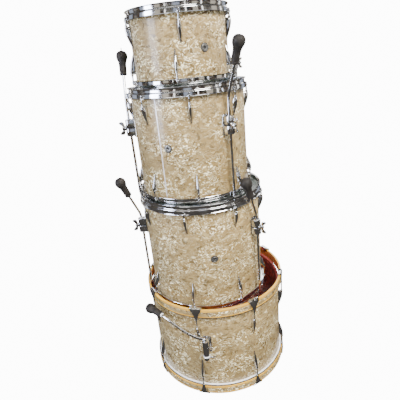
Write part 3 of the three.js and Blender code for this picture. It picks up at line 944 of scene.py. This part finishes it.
def bracket_shape(radius):
    """A two-part cast leg bracket about height 0, with painted shade in the gap between its parts."""
    bracket = plate_shape(radius, 18, 36, 9, (-31.5, 31.5))
    bracket.add(slab(block_outline(14.2, radius + 3, radius + 33), 2.6, 28.5, 2.2))
    bracket.add(slab(block_outline(15, radius + 3, radius + 34), -29.5, -2.2, 2.2))
    # painted shade: a dark block in the gap between the two castings
    bracket.add(slab(block_outline(12, radius + 3, radius + 30), -4, 4, 0.5), look=1)
    for z, turn in ((28.2, 0), (-29.2, math.pi)):
        ring = spun([(8.4, 0), (8.4, 1.6), (7.4, 2.6), (5.2, 2.8)], 28)
        bracket.add(ring, shift(radius + LEG_OFFSET, z) @ Matrix.Rotation(turn, 4, "X"))
    boss = spun([(9.6, 0), (9.6, 1.2), (8.6, 2.0), (4.2, 2.1)], 28)
    bracket.add(boss, outward_at(radius + 32.2))
    return bracket


def leaning(azimuth, lean):
    a, tilt = math.radians(azimuth), math.radians(lean)
    return Vector((math.sin(a) * math.sin(tilt), -math.cos(a) * math.sin(tilt), math.cos(tilt)))


def make_leg(part, side, spec):
    """A leg with its bracket, wing screw and foot, stowed upside down."""
    angle, bend, azimuth, lean = spec
    name = f"{part['name']}_{side}"
    radius = part["radius"]
    height = part["top"] - BRACKET_DROPS[part["name"]]
    bracket = bracket_shape(radius).moved(facing(part, angle, height))
    casting = name + "_bracket_casting"
    piece(casting, bracket, [CHROME, PAINTED_SHADE], part["body"], [name + "_bracket"])

    start = radius + LEG_OFFSET + LEG_RADIUS + 0.5
    place = facing(part, angle, height) @ outward_at(start)
    screw = wing_shape(radius + BRACKET_FRONT - start).moved(place)
    piece(name + "_wing_nut", screw, [CHROME], name + "_wing_screw", [name + "_screw"])

    corner = around(part, radius + LEG_OFFSET, angle, bend)
    direction = leaning(azimuth, lean)
    bottom = Vector((corner.x, corner.y, LEG_ENDS[part["name"]]))
    rod = tube(bent(bottom, corner, corner + direction * LEG_AFTER_BEND, 16), LEG_RADIUS)
    piece(name + "_leg_tube", rod, [CHROME], name + "_leg_rod", [name + "_leg"])
    place = along(corner + direction * (LEG_AFTER_BEND + 2 - FOOT_DEPTH), direction)
    foot = foot_shape().moved(place)
    if name == "upper_tom_left":  # this foot's steel point stands out a little
        end = 84  # just inside the foot's end
        foot.add(spun([(1.6, end), (1.6, end + 10), (0.9, end + 13)], 12), place, look=1)
    piece(name + "_foot_rubber", foot, [RUBBER, NICKEL], name + "_leg_rod", [name + "_foot"])


def make_tom(part, seam_angle, top_film):
    name = part["name"]
    make_shell(part, PLY, seam_angle)
    lug_set(part, "top", part["upper"], ROD_OFFSET, name + "_upper_lugs")
    lug_set(part, "bottom", part["lower"], ROD_OFFSET, name + "_lower_lugs")
    make_vent(part)
    for edge, spec, film in (("top", part["upper"], top_film), ("bottom", part["lower"], FILM)):
        make_rim(part, edge, spec)
        make_head(part, edge, TOM_RING, film, CHROME)


# ------------------------------------------------------------------------- spurs
def barrel_shape():
    """The turned barrel of a spur, with its bushing and end cap."""
    low, high = SPUR["bottom"], SPUR["top"]
    end_cap = [(6.5, 0), (9.5, 1.5), (11.2, 5), (11.8, 12), (11.8, 17), (10.6, 18.5)]
    bushing = [(12.2, 18), (13, 19), (13, 23), (12.2, 24)]
    sleeve = [(11.4, low + 24), (12.2, low + 25), (12.2, high - 17), (11.2, high - 15), (11.2, high - 12)]
    mouth = [(11.6, -12.5), (13, -11), (13, -4), (12, -1.4), (8.5, 0), (5.6, 0)]
    barrel = spun([(r, low + z) for r, z in end_cap], 40)
    barrel.add(spun([(r, low + z) for r, z in bushing], 40), look=1)
    barrel.add(spun(sleeve, 40))
    barrel.add(spun([(r, high + z) for r, z in mouth], 40))
    return barrel


def spur_path(angle, turn):
    """The folded rod's path: up the barrel, round the shell in an easy S, into the foot."""
    climb = SPUR["foot_height"] - SPUR["rod_height"]
    axis = BASS["radius"] + SPUR["offset"]
    steps = 24
    curve = []
    for i in range(steps + 1):
        t = i / steps
        height = SPUR["rod_height"] + climb * t * t * (3 - 2 * t)
        curve.append(around(BASS, axis, angle + turn * SPUR["foot_turn"] * t, height))
    heading = math.radians(angle + turn * SPUR["foot_turn"])
    direction = Vector((math.cos(heading), math.sin(heading), 0)) * turn
    knee, neck = curve[0], curve[-1]
    bottom = Vector((knee.x, knee.y, SPUR["bottom"] + 9))
    path = [*bent(bottom, knee, curve[3], 9), *curve[4:], neck + direction * (FOOT_DEPTH - 2)]
    return path, neck, direction


def make_spur(side):
    angle, turn = SPUR_ANGLES[side], SPUR_TURNS[side]
    radius, name = BASS["radius"], "spur_" + side
    axis = radius + SPUR["offset"]
    place = facing(BASS, angle)
    middle = facing(BASS, angle, (SPUR["bottom"] + SPUR["top"]) / 2)

    bracket = barrel_shape().moved(place @ shift(axis))
    bracket.add(plate_shape(radius, 17, 38, 8, (-32, 32)), middle)
    bracket.add(slab(block_outline(9, radius + 2, axis - 4), -24, 24, 2.5), middle)
    lever = strip([(9, 0, 4), (17, -1.5, 4.5), (25, -1, 4.2), (32, 2, 3.4), (37, 6.5, 2.0)], 2.2)
    pivot = shift(axis, SPUR["bottom"] + 15)
    bracket.add(lever, place @ pivot @ Matrix.Rotation(-turn * math.pi / 2, 4, "Z"))
    piece(name + "_bracket_casting", bracket, [CHROME, NYLON], BASS["body"], [name + "_bracket"])

    path, neck, direction = spur_path(angle, turn)
    rod = tube(path, SPUR["rod"])
    collar = spun([(6, 0), (8.2, 0.6), (8.2, 4.6), (6, 5.2)], 24)
    rod.add(collar, along(neck - direction * 8, direction), look=1)
    piece(name + "_rod_steel", rod, [CHROME, NYLON], name + "_arm", [name + "_rod"])
    foot = foot_shape(SPUR["foot_bore"]).moved(along(neck, direction))
    piece(name + "_foot_rubber", foot, [RUBBER], name + "_arm", [name + "_foot"])

    start = SPUR["rod"] + 0.7
    sideways = shift(axis, SPUR["screw_height"], turn * start) @ Matrix.Rotation(turn * math.pi / 2, 4, "Y")
    screw = wing_shape(SPUR["barrel"] + 0.6 - start, 0.55).moved(place @ sideways)
    piece(name + "_wing_nut", screw, [CHROME], name + "_thumbscrew", [name + "_screw"])


# ----------------------------------------------------------------- rack tom mount
def make_mount():
    radius = RACK_TOM["radius"]
    place = facing(RACK_TOM, MOUNT["angle"], RACK_TOM["base"] + MOUNT["height"])
    tube_at = radius + MOUNT["tube_offset"]
    mount = plate_shape(radius, 20, 32, 9, (-26.5, 26.5))
    mount.add(slab(block_outline(17, radius + 3, radius + MOUNT["out"]), -20, 20, 2.4))
    in_tube = shift(tube_at)
    sleeve = [
        (5.6, -45), (9, -45), (10, -43.8), (10, -30), (9.4, -29), (9.4, -27), (10, -26), (10, -19),
        (5.6, -19),
    ]
    mouth = [(5.6, 19.5), (8.8, 19.5), (8.8, 21.2), (7.6, 22), (5.6, 22)]
    for profile in (sleeve, mouth):
        mount.add(lathe(profile, even_angles(32)), in_tube)
    mount.add(spun([(5.5, 19.8), (5.5, 20.3)], 24), in_tube, look=1)  # the hole's dark floor, painted shade
    boss = spun([(8.4, 0), (8.4, 1.0), (7.6, 1.6), (4.0, 1.7)], 28)
    mount.add(boss, outward_at(radius + MOUNT["out"] - 1.4))
    casting, looks = mount.moved(place), [CHROME, PAINTED_SHADE]
    piece("rack_tom_mount_casting", casting, looks, RACK_TOM["body"], ["rack_tom_mount"])

    start = tube_at + 6.6
    screw = wing_shape(radius + MOUNT["out"] + 0.4 - start, 0.8).moved(place @ outward_at(start))
    node = "rack_tom_mount_screw"
    piece("rack_tom_mount_wing_nut", screw, [CHROME], "rack_tom_wing_screw", [node])


# --------------------------------------------------------------------- the stage
def glowing(name, strength):
    """A material that only glows; its colour is set or driven afterwards."""
    n = Nodes(name)
    n.set(Base_Color=(0, 0, 0, 1), Roughness=1.0, Specular_IOR_Level=0.0, Emission_Strength=strength)
    return n


def plain_look(name, colour, strength):
    n = glowing(name, strength)
    n.set(Emission_Color=(*colour, 1))
    return n.material


def stage_object(name, points, faces, look):
    """A flat or curved panel of the stage, not of the model."""
    mesh = bpy.data.meshes.new(name)
    mesh.from_pydata(points, [], faces)
    mesh.materials.append(look)
    made = bpy.data.objects.new(name, mesh)
    bpy.context.scene.collection.objects.link(made)
    return made


def level_panel(name, look, half_x, low_y, high_y, z):
    corners = [(-half_x, low_y, z), (half_x, low_y, z), (half_x, high_y, z), (-half_x, high_y, z)]
    return stage_object(name, corners, [[0, 1, 2, 3]], look)


def upright_panel(name, look, turn, half_turn, distance, low, high):
    """A curved upright panel round the stage that only reflections see."""
    points, faces = [], []
    steps = max(2, int(half_turn / 4))
    for i in range(steps + 1):
        a = math.radians(turn - half_turn + 2 * half_turn * i / steps)
        for z in (low, high):
            points.append((distance * math.sin(a), -distance * math.cos(a), z))
    for i in range(steps):
        faces.append([2 * i, 2 * i + 2, 2 * i + 3, 2 * i + 1])
    return only_reflected(stage_object(name, points, faces, look))


def only_reflected(panel):
    """Hides a panel from everything but reflections."""
    panel.visible_camera = False
    panel.visible_diffuse = False
    panel.visible_shadow = False
    panel.visible_transmission = False
    return panel


def make_floor():
    """A pale floor and backdrop that the camera sees; they throw no light on the drums."""
    pale = plain_look("pale_floor", grey(0.9), 14.0)
    wide = 20.0
    floor = level_panel("studio_floor", pale, wide, -wide, wide, 0)
    floor.visible_diffuse = False
    floor.visible_glossy = False
    backdrop = upright_panel("studio_backdrop", pale, 0, 180, 14, 0, 16)
    backdrop.visible_camera = True


def wall_look():
    """The dim room behind the windows: warm and green-grey blotches."""
    n = glowing("dim_wall", 1.0)
    blotch = n.noise(n.coordinates((1, 1, 1.8)), 0.9, 3, 0.4)
    colour = n.ramp(
        blotch,
        [
            (0.30, (0.006, 0.009, 0.012)),
            (0.43, (0.022, 0.022, 0.020)),
            (0.50, (0.110, 0.060, 0.036)),
            (0.56, (0.060, 0.058, 0.040)),
            (0.64, (0.240, 0.220, 0.170)),
            (0.72, (0.060, 0.070, 0.100)),
        ],
    )
    n.drive(colour, "Emission Color")
    return n.material


ROOM = 4.4
CEILING = 3.6
WINDOW_DISTANCE = 4.0


def make_reflections():
    """A dim room with a few bright windows, for the chrome and the gloss to reflect."""
    wall = wall_look()
    upright_panel("dim_wall", wall, 0, 180, ROOM, -0.5, CEILING)
    ground = plain_look("dim_ground", (0.02, 0.018, 0.016), 4.0)
    only_reflected(level_panel("dim_ground", ground, ROOM, -ROOM, ROOM, -0.02))
    only_reflected(level_panel("dim_ceiling", wall, ROOM, -ROOM, ROOM, CEILING))
    cool = plain_look("cool_window", (0.72, 0.80, 1.0), 0.6)
    warm = plain_look("warm_window", (1.0, 0.88, 0.70), 0.7)
    lamp = plain_look("lamp", (1.0, 0.97, 0.92), 5.0)
    windows = (
        (-74, 8, cool), (-38, 6, warm), (2, 7, cool), (42, 6, warm), (90, 8, warm),
        (136, 9, cool), (196, 10, warm), (246, 8, cool),
        (-64, 1.2, lamp), (-22, 0.8, lamp), (21, 0.8, lamp), (58, 1.2, lamp),
        (112, 1.5, lamp), (222, 1.5, lamp),
    )
    for i, (turn, half, look) in enumerate(windows):
        upright_panel(f"window_{i}", look, turn, half, WINDOW_DISTANCE, 0.6, 2.6)
    overhead = plain_look("overhead", (1.0, 0.98, 0.95), 0.9)
    only_reflected(level_panel("overhead_panel", overhead, 1.6, -1.7, 0.7, 3.5))
    only_reflected(level_panel("overhead_lamp", lamp, 1.6, -1.2, -1.0, 3.4))


def area_light(name, place, target, size, power, colour):
    data = bpy.data.lights.new(name, "AREA")
    data.shape = "RECTANGLE"
    data.size, data.size_y = size
    data.energy = power
    data.color = colour
    lamp = bpy.data.objects.new(name, data)
    lamp.location = place
    lamp.rotation_euler = (Vector(target) - Vector(place)).to_track_quat("-Z", "Y").to_euler()
    bpy.context.scene.collection.objects.link(lamp)


def make_lights():
    middle = (0, 0, 0.75)
    area_light("key_softbox", (1.5, -2.3, 3.8), middle, (1.8, 1.8), 535, (1.0, 0.96, 0.90))
    area_light("cool_fill", (-2.8, -1.6, 1.7), middle, (1.0, 2.4), 150, (0.74, 0.80, 1.0))
    area_light("back_softbox", (0.6, 3.0, 2.8), middle, (2.4, 1.4), 60, (1.0, 1.0, 1.0))
    world = bpy.data.worlds.new("studio_light")
    world.use_nodes = True
    background = world.node_tree.nodes["Background"]
    background.inputs["Color"].default_value = (1, 1, 1, 1)
    background.inputs["Strength"].default_value = 0.85
    bpy.context.scene.world = world


def make_camera():
    """The photograph's viewpoint: a hand-held camera, rolled a little."""
    pitch, yaw, roll = math.radians(20.93), math.radians(-1.245), math.radians(-5.675)
    forward = Vector((math.sin(yaw) * math.cos(pitch), math.cos(yaw) * math.cos(pitch), -math.sin(pitch)))
    level = Vector((math.cos(yaw), -math.sin(yaw), 0))
    upright = level.cross(forward)
    right = level * math.cos(roll) + upright * math.sin(roll)
    up = upright * math.cos(roll) - level * math.sin(roll)
    x, y = BASS["centre"]
    place = Vector((x * MM, y * MM - 1.4175, 1.286))
    data = bpy.data.cameras.new("photo_view")
    data.lens = 33.12
    data.sensor_width = 36
    camera = bpy.data.objects.new("photo_view", data)
    turn = Matrix((right, up, -forward)).transposed().to_4x4()
    camera.matrix_world = Matrix.Translation(place) @ turn
    bpy.context.scene.collection.objects.link(camera)
    bpy.context.scene.camera = camera


make_bass()
make_tom(LOWER_TOM, 140, DARK_FILM)
make_tom(UPPER_TOM, -30, DARK_FILM)
make_tom(RACK_TOM, 160, FILM)
for tom, legs in ((LOWER_TOM, LOWER_LEGS), (UPPER_TOM, UPPER_LEGS)):
    for side, spec in legs.items():
        make_leg(tom, side, spec)
for side in SPUR_ANGLES:
    make_spur(side)
make_mount()
make_floor()
make_reflections()
make_lights()
make_camera()
